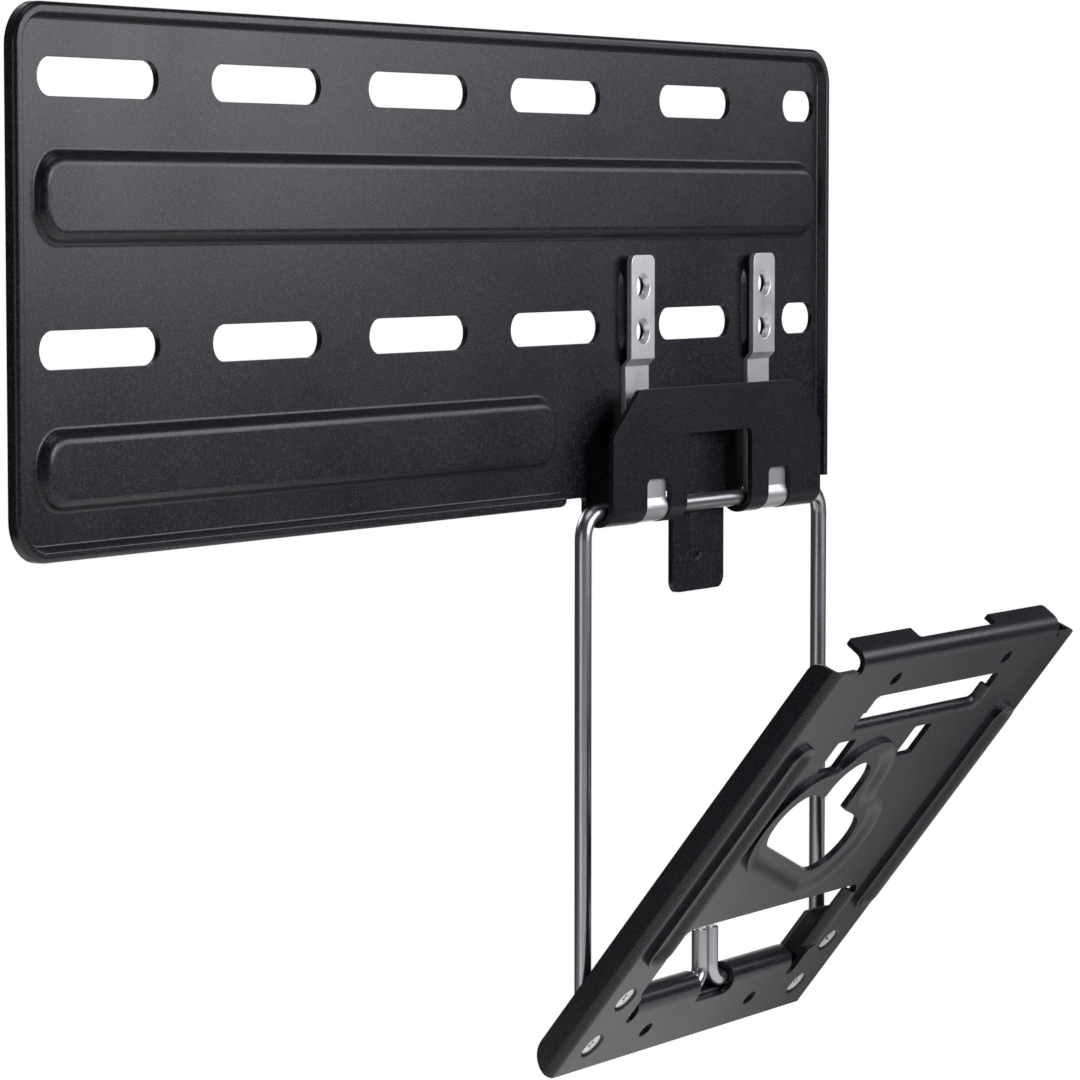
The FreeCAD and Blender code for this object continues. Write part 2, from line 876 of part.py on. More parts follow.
def screen_plate():
    sheet_back = face_y + sheet
    half = screen_width / 2
    shape = Part.Face(screen_section()).extrude(Vector(0, 0, screen_top - screen_bottom))
    shape = shape.common(flange_outline())
    top_cut = box(
        -lip_half_width, lip_half_width, face_y - 1, sheet_back + 1, screen_top - 6, screen_top + 1)
    shape = shape.cut(top_cut)
    notches = []
    back_end = face_y + flange_depth + 1
    for sign in (-1, 1):
        x = sign * (lip_half_width + lip_notch)
        z = screen_top - lip_notch / 2
        notches.append(rod(lip_notch, Vector(x, face_y - 1, z), Vector(x, back_end, z)))
    shape = joined(shape, top_lip())
    shape = without(shape, notches)
    for sign in (-1, 1):
        x = sign * groove_x
        groove = rectangle_arcs(
            x - groove_width / 2, x + groove_width / 2, groove_low, groove_high, groove_width / 2)
        shape = press(shape, groove, face_y, groove_rise, groove_run, sheet, 1)
    shape = press(shape, dish_arcs(), face_y, dish_rise, dish_run, sheet, 1)
    deep = face_y + dish_rise + sheet + 1
    cuts = [softened(lobes(0, face_y - 1, deep), lobe_softening)]
    flat_half = top_window_half + roll_radius
    flat_low = top_window_low - roll_radius
    step_half = top_window_half + top_window_step
    cuts.append(slab(outline([
        (flat_half - top_roll_corner, flat_low + top_roll_corner, top_roll_corner, 270, 90),
        (-flat_half + top_roll_corner, flat_low + top_roll_corner, top_roll_corner, 180, 90),
    ]), face_y - 1, sheet_back + 1))
    cuts.append(box(
        -flat_half, flat_half, face_y - 1, sheet_back + 1,
        flat_low + top_roll_corner, top_window_roll_top))
    cuts.append(rounded_slab(
        -step_half, step_half, flat_low + top_roll_corner, top_window_high,
        top_window_corner, face_y - 1, sheet_back + 1))
    for x in square_slot_x:
        cuts.append(rounded_slab(
            x - square_slot_width / 2, x + square_slot_width / 2,
            square_slot_z - square_slot_height / 2, square_slot_z + square_slot_height / 2,
            slot_corner, face_y - 1, sheet_back + 1))
    wide = low_window_half + side_roll_radius
    cuts.append(rounded_slab(
        -wide, wide, side_roll_low, low_window_top, low_window_corner + side_roll_radius / 2,
        face_y - 1, sheet_back + 1))
    cuts.append(rounded_slab(
        -low_window_half, low_window_half, 0, low_window_top - low_window_shoulder,
        low_window_step_corner, face_y - 1, sheet_back + 1))
    for sign in (-1, 1):
        outer = sign * low_window_half
        inner = outer - sign * slit_width
        cuts.append(rounded_slab(
            min(outer, inner), max(outer, inner), slit_low, side_roll_low + 2, slit_width / 2,
            face_y - 1, sheet_back + 1))
    cuts.append(rounded_slab(
        -barrel_gap_half, barrel_gap_half, slit_low, barrel_gap_top, barrel_gap_corner,
        face_y - 1, sheet_back + 1))
    for x, z, size in (
            (top_hole_x, top_hole_z, top_hole),
            (low_hole_x, low_hole_z, low_hole)):
        for sign in (-1, 1):
            cuts.append(rod(size / 2, Vector(sign * x, face_y - 1, z), Vector(sign * x, sheet_back + 1, z)))
    mouth = screw_head / 2 + screw_sink + screw_seat
    for sign_x in (-1, 1):
        for sign_z in (-1, 1):
            spot = Vector(sign_x * screw_x, face_y, sign_z * screw_z)
            cuts.append(Part.makeCone(mouth, mouth - sheet, sheet, spot, into_wall))
    chamfer = chain(flat, [
        (half + 1, screen_bottom - 1),
        (half + 1, screen_bottom + corner_chamfer + 1),
        (half - corner_chamfer - 1, screen_bottom - 1),
        (half + 1, screen_bottom - 1),
    ])
    cuts.append(slab(chamfer, face_y - 1, sheet_back))
    shape = without(shape, cuts)
    rolled = [window_roll()]
    for sign in (-1, 1):
        rolled += [barrel(sign), side_roll(sign)]
    for piece in rolled:
        shape = shape.fuse(piece)
    return shape


def bearing_block(sign):
    """Block behind the sheet with a groove in which the lower bar turns."""
    low_x = min(sign * block_inner, sign * block_outer)
    high_x = max(sign * block_inner, sign * block_outer)
    front = face_y + sheet
    shape = box(low_x, high_x, front, front + block_depth, block_low, block_high)
    shape = shape.makeChamfer(block_corner, [
        edge for edge in shape.Edges
        if abs(edge.CenterOfMass.y - front - block_depth) < 1e-6])
    groove = rod(eye_inner, Vector(low_x - 1, 0, 0), Vector(high_x + 1, 0, 0))
    mouth = box(low_x - 1, high_x + 1, front - 1, 0, -eye_inner, eye_inner)
    relief_from = sign * block_relief_x
    relief_to = sign * (block_outer + 1)
    relief = rod(block_relief, Vector(relief_from, 0, 0), Vector(relief_to, 0, 0))
    relief_mouth = box(
        min(relief_from, relief_to), max(relief_from, relief_to), front - 1, 0,
        -block_relief, block_relief)
    shank_hole = screw_shank / 2 + screw_seat
    roll_reach = low_window_half + side_roll_radius + roll_clearance
    roll_notch = box(
        min(sign * (block_inner - 1), sign * roll_reach), max(sign * (block_inner - 1), sign * roll_reach),
        front - 1, face_y + side_roll_radius + roll_clearance,
        side_roll_low - roll_clearance, block_high + 1)
    tools = [groove, mouth, relief, relief_mouth, roll_notch]
    for sign_z in (-1, 1):
        spot = Vector(sign * screw_x, front - 1, sign_z * screw_z)
        tools.append(rod(shank_hole, spot, spot + Vector(0, screw_length + 1, 0)))
        mouth_radius = screw_head / 2 + screw_sink + screw_seat - sheet
        tools.append(Part.makeCone(
            mouth_radius, shank_hole, mouth_radius - shank_hole,
            Vector(sign * screw_x, front, sign_z * screw_z), into_wall))
    return without(shape, tools)


def clamp_screw(sign_x, sign_z):
    """Countersunk screw with a cross recess."""
    head_radius = screw_head / 2
    shank = screw_shank / 2
    top = face_y + screw_sink
    cone_end = top + head_radius - shank
    centre = Vector(sign_x * screw_x, 0, sign_z * screw_z)

    def place(a, b):
        return Vector(centre.x + a, b, centre.z)
    profile = chain(place, [
        (0, top),
        (head_radius, top),
        (shank, cone_end),
        (shank, top + screw_length),
        (0, top + screw_length),
        (0, top),
    ])
    shape = Part.Face(profile).revolve(centre, into_wall, 360)
    arms = []
    for spin in (20, 110):
        arm = box(
            -screw_cross / 2, screw_cross / 2, top - 1, top + screw_cross_depth,
            -screw_cross_width / 2, screw_cross_width / 2)
        arm.rotate(Vector(0, 0, 0), into_wall, spin)
        arm.translate(centre)
        arms.append(arm)
    return without(shape, arms)


def tilted(shape):
    """Turn a piece of the screen plate to its angle and move it to the lower bar."""
    shape.rotate(Vector(0, 0, 0), axis_x, tilt)
    shape.translate(Vector(bail_x, hook_axis_y, low_axis_z))
    return shape


os.makedirs("parts", exist_ok=True)
nodes = {
    "wall_plate": wall_plate(),
    "left_hook_strap": strap(-1),
    "right_hook_strap": strap(1),
    "wire_bail": wire_bail(),
    "screen_plate": tilted(screen_plate()),
    "left_bearing_block": tilted(bearing_block(-1)),
    "right_bearing_block": tilted(bearing_block(1)),
    "left_upper_screw": tilted(clamp_screw(-1, 1)),
    "left_lower_screw": tilted(clamp_screw(-1, -1)),
    "right_upper_screw": tilted(clamp_screw(1, 1)),
    "right_lower_screw": tilted(clamp_screw(1, -1)),
}
for name, shape in nodes.items():
    solids = shape.Solids
    if len(solids) == 1:
        shape = solids[0]
    shape.exportStep("parts/" + name + ".step")
    print(name, len(solids), round(shape.Volume), shape.isValid())
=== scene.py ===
import math
import bmesh
import bpy
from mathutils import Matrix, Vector


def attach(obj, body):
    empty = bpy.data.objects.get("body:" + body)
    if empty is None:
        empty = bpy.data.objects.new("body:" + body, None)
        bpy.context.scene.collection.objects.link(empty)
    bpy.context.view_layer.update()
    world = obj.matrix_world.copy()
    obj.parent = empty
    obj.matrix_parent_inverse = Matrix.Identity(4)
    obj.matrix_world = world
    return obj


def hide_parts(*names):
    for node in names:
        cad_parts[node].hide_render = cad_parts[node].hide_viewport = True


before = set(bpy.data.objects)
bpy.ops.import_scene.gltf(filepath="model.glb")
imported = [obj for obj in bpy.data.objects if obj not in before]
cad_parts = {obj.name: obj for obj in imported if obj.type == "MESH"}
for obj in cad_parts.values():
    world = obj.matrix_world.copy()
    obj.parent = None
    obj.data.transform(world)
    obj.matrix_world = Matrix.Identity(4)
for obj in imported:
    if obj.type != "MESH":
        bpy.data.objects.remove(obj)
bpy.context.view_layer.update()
print("frame loaded")

mm = 0.001
edgeSamples = 6               # rays that look for a near edge
patchRange = (0.3, 0.7)       # what most of a noise texture lies between
creaseAngle = 35              # degrees; sharper turns than this are edges


def toLinear(hexCode):
    linear = []
    for start in (0, 2, 4):
        shade = int(hexCode[start:start + 2], 16) / 255
        linear.append(shade / 12.92 if shade <= 0.04045 else ((shade + 0.055) / 1.055) ** 2.4)
    return (*linear, 1.0)


# a value is a socket to link from or a constant to set
def addNode(tree, kind, values=None, **settings):
    node = tree.nodes.new(kind)
    for name, setting in settings.items():
        setattr(node, name, setting)
    for name, value in (values or {}).items():
        if isinstance(value, bpy.types.NodeSocket):
            tree.links.new(value, node.inputs[name])
        else:
            node.inputs[name].default_value = value
    return node


def newMaterial(name):
    material = bpy.data.materials.new(name)
    material.use_nodes = True
    material.node_tree.nodes.clear()
    place = addNode(material.node_tree, "ShaderNodeTexCoord").outputs["Object"]
    return material, material.node_tree, place


# Fine satin powder coat, sprayed and baked on the pressed steel: nearly black with a violet cast,
# a slight orange peel that breaks up the highlights, and tiny bright grains in it.
powderCoatLook = {
    "paint": "0d0c11",
    "grain": "484753",
    "grainSize": 0.55 * mm,   # the real grain is finer, this is the finest that shows
    "grainDepth": 0.015 * mm,
    "grainRange": (0.5, 0.8),
    "peelSize": 1.6 * mm,
    "peelDepth": 0.01 * mm,
    "patchSize": 60 * mm,
    "roughness": (0.27, 0.34),
    "edgeBreak": 0.35 * mm,   # the coat rounds the cut edges, which the light shows as a fine line
    "specular": 0.42,
}


def powderCoat(look):
    material, tree, place = newMaterial("satin powder coat on steel")
    peel = addNode(tree, "ShaderNodeTexNoise", {
        "Vector": place, "Scale": 1 / look["peelSize"], "Detail": 2.0}).outputs[0]
    grain = addNode(tree, "ShaderNodeTexNoise", {
        "Vector": place, "Scale": 1 / look["grainSize"], "Detail": 1.0}).outputs[0]
    patch = addNode(tree, "ShaderNodeTexNoise", {
        "Vector": place, "Scale": 1 / look["patchSize"], "Detail": 2.0}).outputs[0]
    first, last = look["grainRange"]
    share = addNode(tree, "ShaderNodeMapRange", {
        "Value": grain, "From Min": first, "From Max": last}).outputs[0]
    colour = addNode(tree, "ShaderNodeMix", {
        0: share, 6: toLinear(look["paint"]), 7: toLinear(look["grain"])}, data_type="RGBA").outputs[2]
    smooth, rough = look["roughness"]
    low, high = patchRange
    gloss = addNode(tree, "ShaderNodeMapRange", {
        "Value": patch, "From Min": low, "From Max": high, "To Min": smooth, "To Max": rough}).outputs[0]
    edge = addNode(tree, "ShaderNodeBevel", {"Radius": look["edgeBreak"]}, samples=edgeSamples).outputs[0]
    relief = addNode(tree, "ShaderNodeBump", {
        "Height": peel, "Strength": 1.0, "Distance": look["peelDepth"], "Normal": edge}).outputs[0]
    relief = addNode(tree, "ShaderNodeBump", {
        "Height": grain, "Strength": 1.0, "Distance": look["grainDepth"], "Normal": relief}).outputs[0]
    surface = addNode(tree, "ShaderNodeBsdfPrincipled", {
        "Base Color": colour, "Roughness": gloss, "Normal": relief,
        "Specular IOR Level": look["specular"]})
    addNode(tree, "ShaderNodeOutputMaterial", {"Surface": surface.outputs[0]})
    return material


# Bright zinc plating over stamped strip: a pale even grey, satin, with faint rolling marks along
# the strip and slightly cloudy patches.
zincLook = {
    "bright": "f0f0f1",
    "cloudy": "dededf",
    "rollMark": "c2c2c4",
    "cloudSize": 8 * mm,
    "markSize": 0.5 * mm,
    "markStretch": 0.03,      # how slowly a mark changes along the strip
    "markRange": (0.45, 0.8),
    "markShare": 0.3,
    "metallic": 0.85,
    "roughness": (0.32, 0.4),
    "edgeBreak": 0.5 * mm,    # the cut edges are rolled over and catch the light
}


def zincPlating(look):
    material, tree, place = newMaterial("bright zinc plating on steel")
    cloud = addNode(tree, "ShaderNodeTexNoise", {
        "Vector": place, "Scale": 1 / look["cloudSize"], "Detail": 3.0}).outputs[0]
    drawn = addNode(tree, "ShaderNodeMapping", {
        "Vector": place, "Scale": (1.0, 1.0, look["markStretch"])}).outputs[0]
    mark = addNode(tree, "ShaderNodeTexNoise", {
        "Vector": drawn, "Scale": 1 / look["markSize"], "Detail": 2.0}).outputs[0]
    colour = addNode(tree, "ShaderNodeMix", {
        0: cloud, 6: toLinear(look["bright"]), 7: toLinear(look["cloudy"])}, data_type="RGBA").outputs[2]
    first, last = look["markRange"]
    faint = addNode(tree, "ShaderNodeMapRange", {
        "Value": mark, "From Min": first, "From Max": last, "To Max": look["markShare"]}).outputs[0]
    colour = addNode(tree, "ShaderNodeMix", {
        0: faint, 6: colour, 7: toLinear(look["rollMark"])}, data_type="RGBA").outputs[2]
    smooth, rough = look["roughness"]
    low, high = patchRange
    gloss = addNode(tree, "ShaderNodeMapRange", {
        "Value": cloud, "From Min": low, "From Max": high, "To Min": smooth, "To Max": rough}).outputs[0]
    edge = addNode(tree, "ShaderNodeBevel", {"Radius": look["edgeBreak"]}, samples=edgeSamples).outputs[0]
    surface = addNode(tree, "ShaderNodeBsdfPrincipled", {
        "Base Color": colour, "Metallic": look["metallic"], "Roughness": gloss, "Normal": edge})
    addNode(tree, "ShaderNodeOutputMaterial", {"Surface": surface.outputs[0]})
    return material


# Cold-drawn steel wire, nickel bright: smooth, with the long fine streaks that the die leaves.
wireLook = {
    "steel": "bcbcbf",
    "streak": "9c9ca0",
    "streakSize": 0.6 * mm,
    "streakStretch": 0.02,    # streaks change across the wire and hardly along it
    "streakRange": (0.4, 0.75),
    "streakShare": 0.5,
    "metallic": 1.0,
    "roughness": (0.25, 0.33),
}


def drawnWire(look):
    material, tree, place = newMaterial("cold-drawn steel wire")
    stretch = look["streakStretch"]
    drawn = addNode(tree, "ShaderNodeMapping", {
        "Vector": place, "Scale": (stretch, 1.0, stretch)}).outputs[0]
    streak = addNode(tree, "ShaderNodeTexNoise", {
        "Vector": drawn, "Scale": 1 / look["streakSize"], "Detail": 2.0}).outputs[0]
    first, last = look["streakRange"]
    share = addNode(tree, "ShaderNodeMapRange", {
        "Value": streak, "From Min": first, "From Max": last, "To Max": look["streakShare"]}).outputs[0]
    colour = addNode(tree, "ShaderNodeMix", {
        0: share, 6: toLinear(look["steel"]), 7: toLinear(look["streak"])}, data_type="RGBA").outputs[2]
    smooth, rough = look["roughness"]
    low, high = patchRange
    gloss = addNode(tree, "ShaderNodeMapRange", {
        "Value": streak, "From Min": low, "From Max": high, "To Min": smooth, "To Max": rough}).outputs[0]
    surface = addNode(tree, "ShaderNodeBsdfPrincipled", {
        "Base Color": colour, "Metallic": look["metallic"], "Roughness": gloss})
    addNode(tree, "ShaderNodeOutputMaterial", {"Surface": surface.outputs[0]})
    return material


# Moulded black nylon of the bearing blocks: matt, with the fine spark-eroded grain of the mould.
nylonLook = {
    "nylon": "141416",
    "worn": "1e1e21",
    "grainSize": 0.6 * mm,
    "grainDepth": 0.015 * mm,
    "edgeBreak": 0.4 * mm,
    "roughness": (0.48, 0.6),
}


def mouldedNylon(look):
    material, tree, place = newMaterial("moulded black nylon")
    grain = addNode(tree, "ShaderNodeTexNoise", {
        "Vector": place, "Scale": 1 / look["grainSize"], "Detail": 3.0}).outputs[0]
    colour = addNode(tree, "ShaderNodeMix", {
        0: grain, 6: toLinear(look["nylon"]), 7: toLinear(look["worn"])}, data_type="RGBA").outputs[2]
    smooth, rough = look["roughness"]
    low, high = patchRange
    gloss = addNode(tree, "ShaderNodeMapRange", {
        "Value": grain, "From Min": low, "From Max": high, "To Min": smooth, "To Max": rough}).outputs[0]
    edge = addNode(tree, "ShaderNodeBevel", {"Radius": look["edgeBreak"]}, samples=edgeSamples).outputs[0]
    relief = addNode(tree, "ShaderNodeBump", {
        "Height": grain, "Strength": 1.0, "Distance": look["grainDepth"], "Normal": edge}).outputs[0]
    surface = addNode(tree, "ShaderNodeBsdfPrincipled", {
        "Base Color": colour, "Roughness": gloss, "Normal": relief})
    addNode(tree, "ShaderNodeOutputMaterial", {"Surface": surface.outputs[0]})
    return material


coat = powderCoat(powderCoatLook)
zinc = zincPlating(zincLook)
wireSteel = drawnWire(wireLook)
nylon = mouldedNylon(nylonLook)
print("materials made")


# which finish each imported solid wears; the four screws are replaced further down
finishes = {
    "wall_plate": coat,
    "screen_plate": coat,
    "wire_bail": wireSteel,
    "left_hook_strap": zinc,
    "right_hook_strap": zinc,
    "left_bearing_block": nylon,
    "right_bearing_block": nylon,
}
for name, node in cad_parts.items():
    node.data.materials.clear()
    node.data.materials.append(finishes.get(name, zinc))
print("finishes set")


# The four countersunk screws are one tree: a head with a cross recess is made once and put on the
# seats that the solids give, each turned as its driver left it.
screwLook = {
    "headRadius": 4.5 * mm,
    "shankRadius": 2.1 * mm,
    "headDepth": 2.4 * mm,
    "length": 9.6 * mm,
    "recessLength": 5.0 * mm,
    "recessWidth": 1.0 * mm,
    "recessDepth": 1.5 * mm,
    "recessCore": 1.2 * mm,
    "recessTip": 0.2 * mm,
    "coreDrop": 1.95 * mm,    # the middle of the core's cone under the flat of the head
    "recessFacets": 12,
    "plateTilt": 37.7,
    "facets": 40,
    "turnSeed": 4,
    "flatWithin": 0.05 * mm,  # corners this near the top belong to the flat of the head
    "edgeBreak": 0.12 * mm,
}
screwNames = [side + "_" + level + "_screw" for side in ("left", "right") for level in ("upper", "lower")]


# the middle of the flat top of a packed screw, whose axis stands square on the tilted plate
def screwSeat(nodeName, outward, along):
    corners = [vertex.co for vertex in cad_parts[nodeName].data.vertices]
    top = max(corner.dot(outward) for corner in corners)
    rim = [corner for corner in corners if top - corner.dot(outward) < screwLook["flatWithin"]]
    middleX = (min(corner.x for corner in rim) + max(corner.x for corner in rim)) / 2
    reach = [corner.dot(along) for corner in rim]
    return Vector((middleX, 0, 0)) + along * (min(reach) + max(reach)) / 2 + outward * top


def screwTree():
    tree = bpy.data.node_groups.new("countersunk screws", "GeometryNodeTree")
    tree.interface.new_socket("Seats", in_out="INPUT", socket_type="NodeSocketGeometry")
    for name in ("Head Radius", "Shank Radius", "Head Depth", "Length", "Recess Length",
                 "Recess Width", "Recess Depth", "Recess Core", "Recess Tip", "Core Drop", "Tilt"):
        tree.interface.new_socket(name, in_out="INPUT", socket_type="NodeSocketFloat")
    for name in ("Facets", "Recess Facets", "Turn Seed"):
        tree.interface.new_socket(name, in_out="INPUT", socket_type="NodeSocketInt")
    tree.interface.new_socket("Finish", in_out="INPUT", socket_type="NodeSocketMaterial")
    tree.interface.new_socket("Screws", in_out="OUTPUT", socket_type="NodeSocketGeometry")
    given = addNode(tree, "NodeGroupInput").outputs

    downHead = addNode(tree, "ShaderNodeMath", {0: given["Head Depth"], 1: -1.0}, operation="MULTIPLY")
    downHead = addNode(tree, "ShaderNodeCombineXYZ", {"Z": downHead.outputs[0]})
    head = addNode(tree, "GeometryNodeMeshCone", {
        "Vertices": given["Facets"], "Radius Top": given["Head Radius"],
        "Radius Bottom": given["Shank Radius"], "Depth": given["Head Depth"]})
    head = addNode(tree, "GeometryNodeTransform", {
        "Geometry": head.outputs["Mesh"], "Translation": downHead.outputs[0]})
    shankLength = addNode(tree, "ShaderNodeMath", {
        0: given["Length"], 1: given["Head Depth"]}, operation="SUBTRACT")
    halfWay = addNode(tree, "ShaderNodeMath", {
        0: given["Length"], 1: given["Head Depth"]}, operation="ADD")
    halfWay = addNode(tree, "ShaderNodeMath", {0: halfWay.outputs[0], 1: -0.5}, operation="MULTIPLY")
    halfWay = addNode(tree, "ShaderNodeCombineXYZ", {"Z": halfWay.outputs[0]})
    shank = addNode(tree, "GeometryNodeMeshCylinder", {
        "Vertices": given["Facets"], "Radius": given["Shank Radius"], "Depth": shankLength.outputs[0]})
    shank = addNode(tree, "GeometryNodeTransform", {
        "Geometry": shank.outputs["Mesh"], "Translation": halfWay.outputs[0]})
    body = addNode(tree, "GeometryNodeJoinGeometry")
    tree.links.new(head.outputs[0], body.inputs[0])
    tree.links.new(shank.outputs[0], body.inputs[0])

    twiceDeep = addNode(tree, "ShaderNodeMath", {0: given["Recess Depth"], 1: 2.0}, operation="MULTIPLY")
    armSize = addNode(tree, "ShaderNodeCombineXYZ", {
        "X": given["Recess Length"], "Y": given["Recess Width"], "Z": twiceDeep.outputs[0]})
    firstArm = addNode(tree, "GeometryNodeMeshCube", {"Size": armSize.outputs[0]})
    secondArm = addNode(tree, "GeometryNodeTransform", {
        "Geometry": firstArm.outputs["Mesh"], "Rotation": (0.0, 0.0, math.radians(90))})
    downCore = addNode(tree, "ShaderNodeMath", {0: given["Core Drop"], 1: -1.0}, operation="MULTIPLY")
    downCore = addNode(tree, "ShaderNodeCombineXYZ", {"Z": downCore.outputs[0]})
    core = addNode(tree, "GeometryNodeMeshCone", {
        "Vertices": given["Recess Facets"], "Radius Top": given["Recess Core"],
        "Radius Bottom": given["Recess Tip"], "Depth": twiceDeep.outputs[0]})
    core = addNode(tree, "GeometryNodeTransform", {
        "Geometry": core.outputs["Mesh"], "Translation": downCore.outputs[0]})
    screw = addNode(tree, "GeometryNodeMeshBoolean", {"Mesh 1": body.outputs[0]}, operation="DIFFERENCE")
    for cutter in (firstArm, secondArm, core):
        tree.links.new(cutter.outputs[0], screw.inputs["Mesh 2"])

    points = addNode(tree, "GeometryNodeMeshToPoints", {"Mesh": given["Seats"]})
    tilt = addNode(tree, "ShaderNodeCombineXYZ", {"X": given["Tilt"]})
    placed = addNode(tree, "GeometryNodeInstanceOnPoints", {
        "Points": points.outputs[0], "Instance": screw.outputs["Mesh"], "Rotation": tilt.outputs[0]})
    turn = addNode(tree, "FunctionNodeRandomValue", {
        "Min": (0.0, 0.0, 0.0), "Max": (0.0, 0.0, math.radians(90)), "Seed": given["Turn Seed"]},
        data_type="FLOAT_VECTOR")
    turned = addNode(tree, "GeometryNodeRotateInstances", {
        "Instances": placed.outputs[0], "Rotation": turn.outputs[0]})
    real = addNode(tree, "GeometryNodeRealizeInstances", {"Geometry": turned.outputs[0]})
    finished = addNode(tree, "GeometryNodeSetMaterial", {
        "Geometry": real.outputs[0], "Material": given["Finish"]})
    addNode(tree, "NodeGroupOutput", {"Screws": finished.outputs[0]})
    return tree


def screwRow(look, material):
    tilt = math.radians(look["plateTilt"])
    outward = Vector((0, -math.cos(tilt), -math.sin(tilt)))
    along = Vector((0, -math.sin(tilt), math.cos(tilt)))
    seats = bpy.data.meshes.new("screw seats")
    seats.from_pydata([screwSeat(name, outward, along) for name in screwNames], [], [])
    screws = bpy.data.objects.new("cross_head_screws", seats)
    bpy.context.scene.collection.objects.link(screws)
    chosen = {
        "Head Radius": look["headRadius"], "Shank Radius": look["shankRadius"],
        "Head Depth": look["headDepth"], "Length": look["length"],
        "Recess Length": look["recessLength"], "Recess Width": look["recessWidth"],
        "Recess Depth": look["recessDepth"], "Recess Core": look["recessCore"],
        "Recess Tip": look["recessTip"], "Core Drop": look["coreDrop"],
        "Recess Facets": look["recessFacets"],
        "Tilt": math.radians(90) + tilt, "Facets": look["facets"],
        "Turn Seed": look["turnSeed"], "Finish": material,
    }
    builder = screws.modifiers.new("screws", "NODES")
    builder.node_group = screwTree()
    for socket in builder.node_group.interface.items_tree:
        if socket.name in chosen:
            builder[socket.identifier] = chosen[socket.name]
    view = bpy.context.evaluated_depsgraph_get()
    made = bpy.data.meshes.new_from_object(screws.evaluated_get(view))
    screws.modifiers.clear()
    screws.data = made
    breaking = screws.modifiers.new("broken edges", "BEVEL")
    breaking.width = look["edgeBreak"]
    breaking.segments = 2
    breaking.limit_method = "ANGLE"
    breaking.angle_limit = math.radians(creaseAngle)
    breaking.use_clamp_overlap = False
    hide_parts(*screwNames)
    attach(screws, "screen")
    return screws


screwRow(screwLook, zinc)
print("screws set")


# The closing part of the hinge roll, from where its two halves end round to the back of the sheet,
# and the tongue that it sends up behind the prongs, clear of them at every tilt.
rollLook = {
    "hingeX": 146.5 * mm,
    "hingeY": -7.05 * mm,
    "hingeZ": -260.5 * mm,
    "outerRadius": 5.5 * mm,
    "sheet": 2.0 * mm,
    "tongueTop": 26.0,        # degrees above the level line through the hinge, at the back
    "rollEnd": -32.3,
    "closed": -89.0,
    "tongueHalf": 12.0 * mm,
    "rollHalf": 55.6 * mm,
    "facetTurn": 3.0,
}


def curledSheet(model, look, fromTurn, toTurn, half):
    rings = []
    steps = round((fromTurn - toTurn) / look["facetTurn"])
    for step in range(steps + 1):
        turn = math.radians(fromTurn + (toTurn - fromTurn) * step / steps)
        ring = []
        for radius in (look["outerRadius"], look["outerRadius"] - look["sheet"]):
            y = look["hingeY"] + radius * math.cos(turn)
            z = look["hingeZ"] + radius * math.sin(turn)
            for side in (-1, 1):
                ring.append(model.verts.new((look["hingeX"] + side * half, y, z)))
        rings.append(ring)
    for before, after in zip(rings, rings[1:]):
        for one, two in ((0, 1), (1, 3), (3, 2), (2, 0)):
            model.faces.new((before[one], before[two], after[two], after[one]))
    for ring in (rings[0], rings[-1]):
        model.faces.new((ring[0], ring[1], ring[3], ring[2]))


def rollClosing(look):
    model = bmesh.new()
    curledSheet(model, look, look["tongueTop"], look["rollEnd"], look["tongueHalf"])
    curledSheet(model, look, look["rollEnd"], look["closed"], look["rollHalf"])
    bmesh.ops.recalc_face_normals(model, faces=model.faces)
    made = bpy.data.meshes.new("hinge_roll_closing")
    model.to_mesh(made)
    model.free()
    made.shade_smooth()
    made.set_sharp_from_angle(angle=math.radians(creaseAngle))
    made.materials.append(coat)
    closing = bpy.data.objects.new("hinge_roll_closing", made)
    bpy.context.scene.collection.objects.link(closing)
    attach(closing, "screen")


rollClosing(rollLook)
print("hinge roll closed")


# The studio: a pale floor under the bracket, a surround that the camera sees white, and soft boxes
# that do the lighting. Reflections see the floor and the white that stands behind the bracket; the
# rest of the surround is dim to them, which keeps the black coat black.
studioLook = {
    "floorPlace": (-0.14, -0.82, -0.42),
    "floorTurn": -36.9,       # degrees; the undersides of the ribs mirror what lies behind its edge
    "floorSize": 2.0,
    "floorTone": "f4f4f4",
    "floorGlow": 0.75,
    "white": "ffffff",
    "lampTone": "f8f7ff",
    "surround": 0.06,
    "backdropFrom": 0.85,     # cosines of the turn from the photograph's heading
    "backdropFull": 0.96,
}
photoHeading = Vector((0.8416, 0.5347, -0.0764))


def paleFloor(look):
    bpy.ops.mesh.primitive_plane_add(size=look["floorSize"], location=look["floorPlace"])
    floor = bpy.context.object
    floor.name = "floor"
    floor.rotation_euler.z = math.radians(look["floorTurn"])
    material = bpy.data.materials.new("pale studio floor")
    material.use_nodes = True
    tree = material.node_tree
    tree.nodes.clear()
    rays = addNode(tree, "ShaderNodeLightPath").outputs
    seen = addNode(tree, "ShaderNodeMath", {
        0: rays["Is Camera Ray"], 1: rays["Is Glossy Ray"]}, operation="MAXIMUM")
    seen = addNode(tree, "ShaderNodeMath", {
        0: seen.outputs[0], 1: rays["Is Transmission Ray"]}, operation="MAXIMUM")
    share = addNode(tree, "ShaderNodeMath", {
        0: seen.outputs[0], 1: look["floorGlow"]}, operation="MULTIPLY")
    shaded = addNode(tree, "ShaderNodeBsdfDiffuse", {"Color": toLinear(look["floorTone"])})
    white = addNode(tree, "ShaderNodeEmission", {"Color": toLinear(look["white"]), "Strength": 1.0})
    both = addNode(tree, "ShaderNodeMixShader", {
        0: share.outputs[0], 1: shaded.outputs[0], 2: white.outputs[0]})
    addNode(tree, "ShaderNodeOutputMaterial", {"Surface": both.outputs[0]})
    floor.data.materials.append(material)


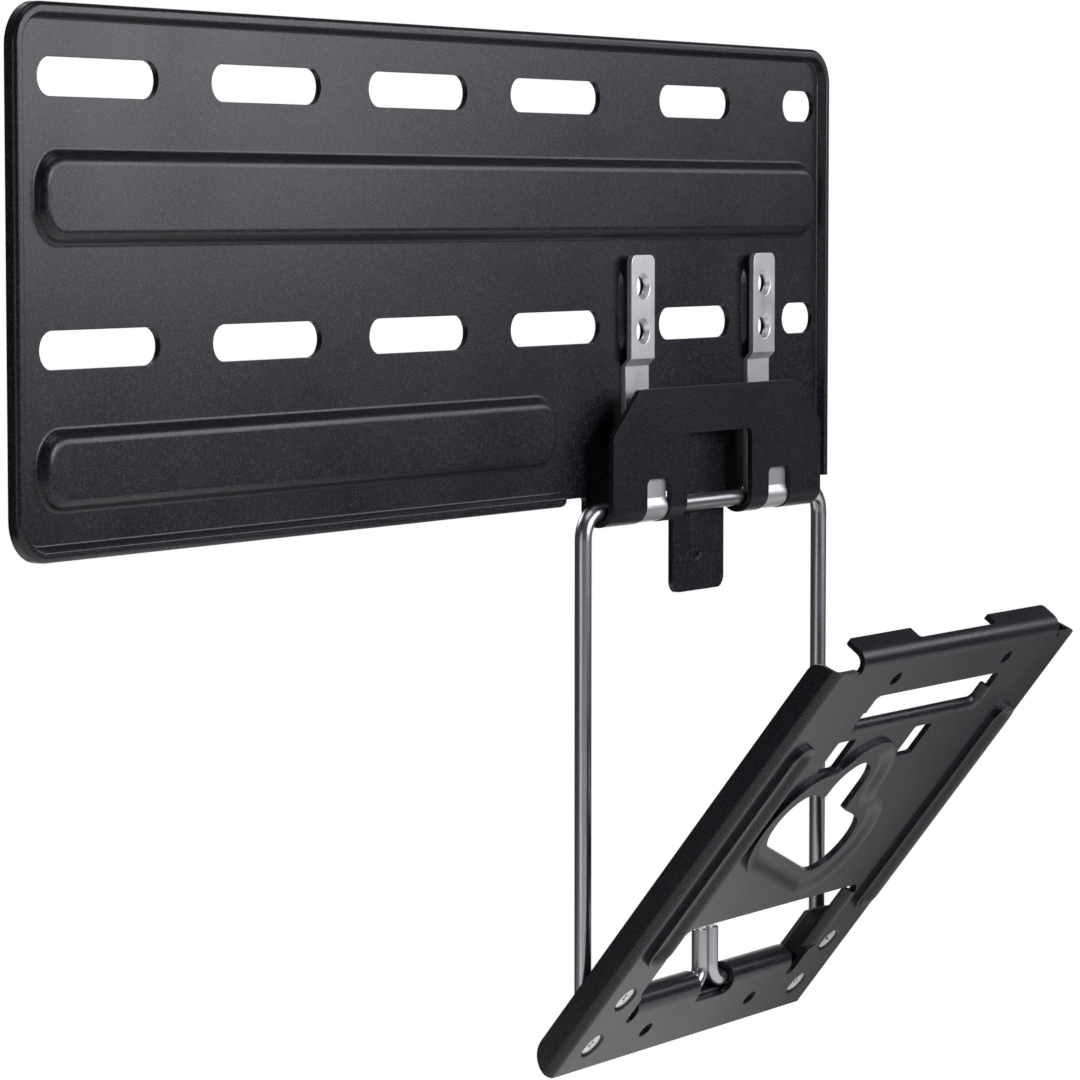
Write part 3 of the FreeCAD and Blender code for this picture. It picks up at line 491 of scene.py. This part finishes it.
def whiteSurround(look):
    world = bpy.data.worlds.new("white surround")
    bpy.context.scene.world = world
    world.use_nodes = True
    tree = world.node_tree
    tree.nodes.clear()
    rays = addNode(tree, "ShaderNodeLightPath").outputs
    heading = addNode(tree, "ShaderNodeTexCoord").outputs["Generated"]
    ahead = addNode(tree, "ShaderNodeVectorMath", {0: heading, 1: photoHeading}, operation="DOT_PRODUCT")
    backdrop = addNode(tree, "ShaderNodeMapRange", {
        "Value": ahead.outputs["Value"], "From Min": look["backdropFrom"],
        "From Max": look["backdropFull"]})
    mirrored = addNode(tree, "ShaderNodeMath", {
        0: rays["Is Glossy Ray"], 1: backdrop.outputs[0]}, operation="MULTIPLY")
    seen = addNode(tree, "ShaderNodeMath", {
        0: rays["Is Camera Ray"], 1: mirrored.outputs[0]}, operation="MAXIMUM")
    seen = addNode(tree, "ShaderNodeMath", {
        0: seen.outputs[0], 1: rays["Is Transmission Ray"]}, operation="MAXIMUM")
    strength = addNode(tree, "ShaderNodeMapRange", {
        "Value": seen.outputs[0], "To Min": look["surround"], "To Max": 1.0})
    light = addNode(tree, "ShaderNodeBackground", {
        "Color": toLinear(look["white"]), "Strength": strength.outputs[0]})
    addNode(tree, "ShaderNodeOutputWorld", {"Surface": light.outputs[0]})


paleFloor(studioLook)
whiteSurround(studioLook)

# place, width, height and watts of each soft box, all aimed at the middle of the bracket
softBoxes = {
    "key box": ((0.56, -0.64, 0.17), 0.35, 0.38, 1.6),
    "right box": ((1.2, -0.65, 0.34), 0.4, 0.4, 1.2),
    "front box": ((0.32, -1.38, 0.4), 0.55, 0.6, 11.0),
    "left strip": ((-1.34, -0.06, -0.05), 0.6, 1.0, 2.2),
    "top box": ((0.0, -0.3, 1.4), 0.8, 0.8, 3.0),
    "back box": ((0.3, 1.4, 0.9), 1.0, 0.8, 8.0),
}
middle = Vector((0.03, -0.05, -0.08))
for name, (place, width, height, watts) in softBoxes.items():
    lamp = bpy.data.lights.new(name, "AREA")
    lamp.shape = "RECTANGLE"
    lamp.size = width
    lamp.size_y = height
    lamp.energy = watts
    lamp.color = toLinear(studioLook["lampTone"])[:3]
    holder = bpy.data.objects.new(name, lamp)
    bpy.context.scene.collection.objects.link(holder)
    holder.location = place
    holder.rotation_euler = (middle - Vector(place)).to_track_quat("-Z", "Y").to_euler()
print("studio set")

# where the photograph was taken from
cameraLook = {
    "place": (-1.2127, -0.7991, 0.0219),
    "lens": 144.6,
    "sensor": 36.0,
    "nearest": 0.02,
}
camera = bpy.data.objects.new("camera", bpy.data.cameras.new("camera"))
bpy.context.scene.collection.objects.link(camera)
bpy.context.scene.camera = camera
camera.data.sensor_width = cameraLook["sensor"]
camera.data.lens = cameraLook["lens"]
camera.data.clip_start = cameraLook["nearest"]
camera.location = cameraLook["place"]
camera.rotation_euler = photoHeading.to_track_quat("-Z", "Y").to_euler()
bpy.context.scene.view_settings.view_transform = "Standard"
print("camera set")
